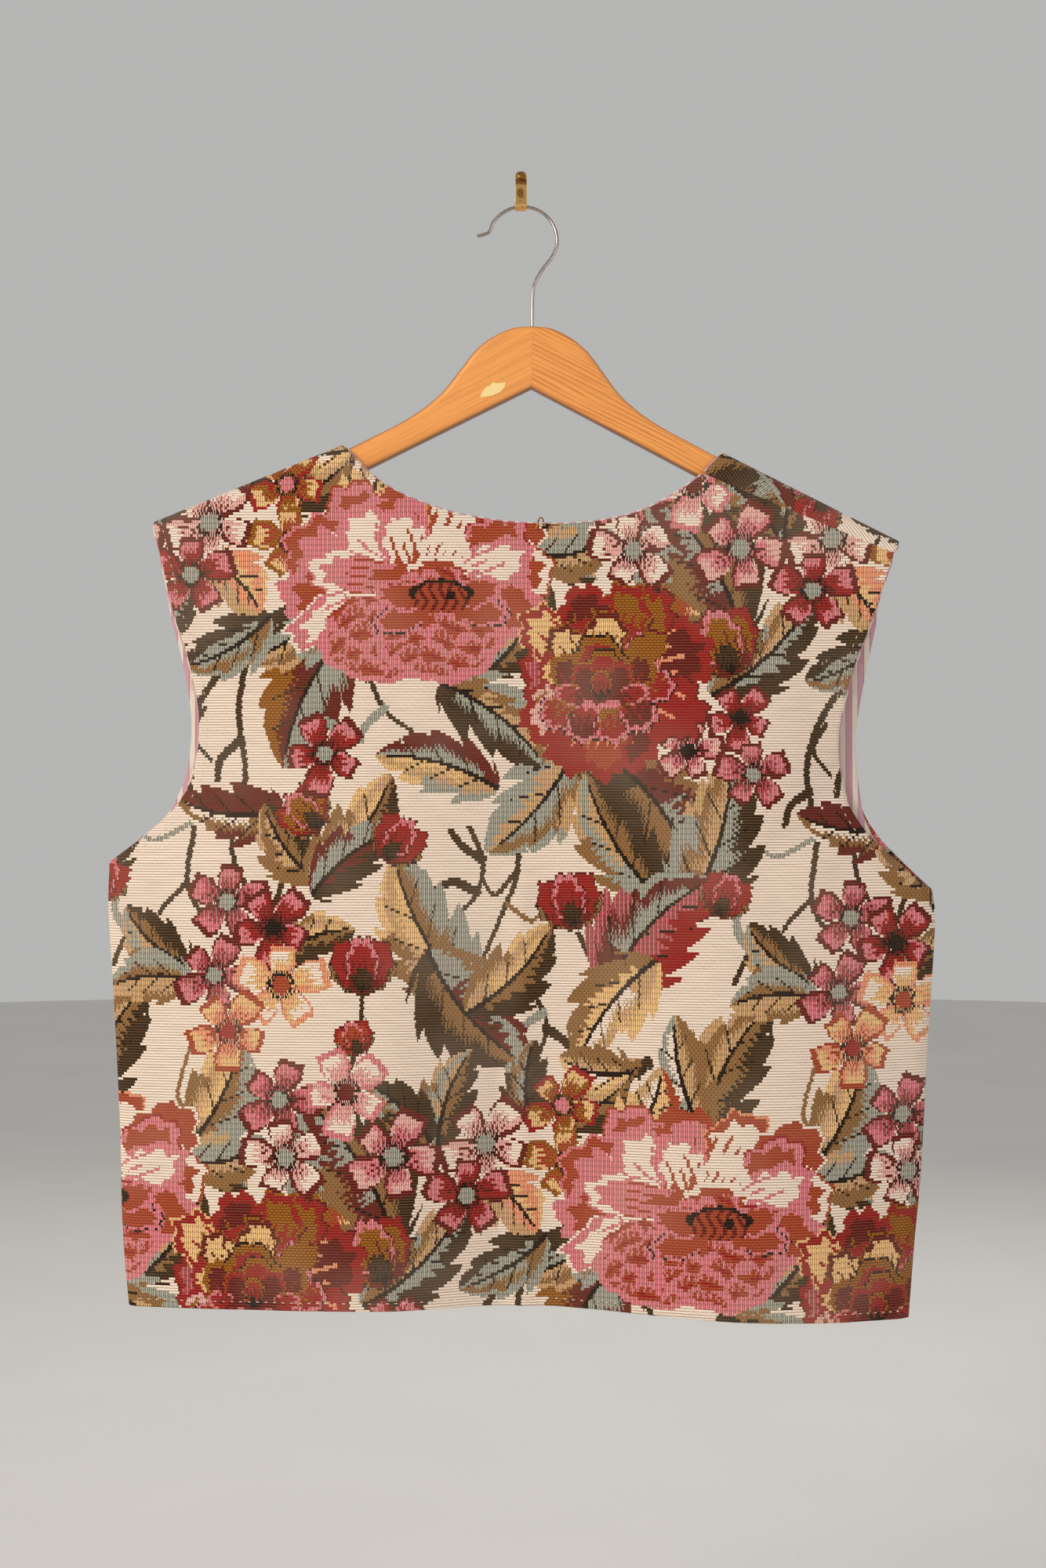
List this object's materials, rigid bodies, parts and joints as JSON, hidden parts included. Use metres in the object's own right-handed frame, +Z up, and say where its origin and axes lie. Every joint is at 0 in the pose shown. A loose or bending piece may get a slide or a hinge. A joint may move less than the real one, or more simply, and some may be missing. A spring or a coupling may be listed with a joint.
{
  "type": "tapestry waistcoat on a wooden hanger with a wall hook",
  "caption": "Short sleeveless round-necked waistcoat of floral tapestry cloth, back outwards, on a wooden hanger with a wire hook hung from a small brass wall hook.",
  "frame": {"origin": "on the back face of the wall hook's strip, at the middle of its width and near the middle of its height", "axes": "+X right as one faces the waistcoat, +Y into the wall, +Z up"},
  "size_m": [0.519, 0.0444, 0.723],
  "materials": {
    "tapestry": "thick woven cotton tapestry in cream, rose, burgundy, olive and grey-blue",
    "striped_lining": "thin woven lining in lilac-rose and cream stripes",
    "hanger_wood": "satin varnished pale wood",
    "steel_wire": "bright drawn wire",
    "wall_brass": "worn polished brass",
    "aged_brass": "dull browned brass"
  },
  "bodies": {
    "root": {"back": "tapestry", "front_left": "tapestry", "front_right": "tapestry", "back_lining": "striped_lining", "front_left_lining": "striped_lining", "front_right_lining": "striped_lining", "hanger_arm_left": "hanger_wood", "hanger_arm_right": "hanger_wood", "hanger_hook": "steel_wire", "wall_hook": "wall_brass", "wall_pin": "aged_brass", "neck_loop": "wall_brass"}
  },
  "joints": []
}
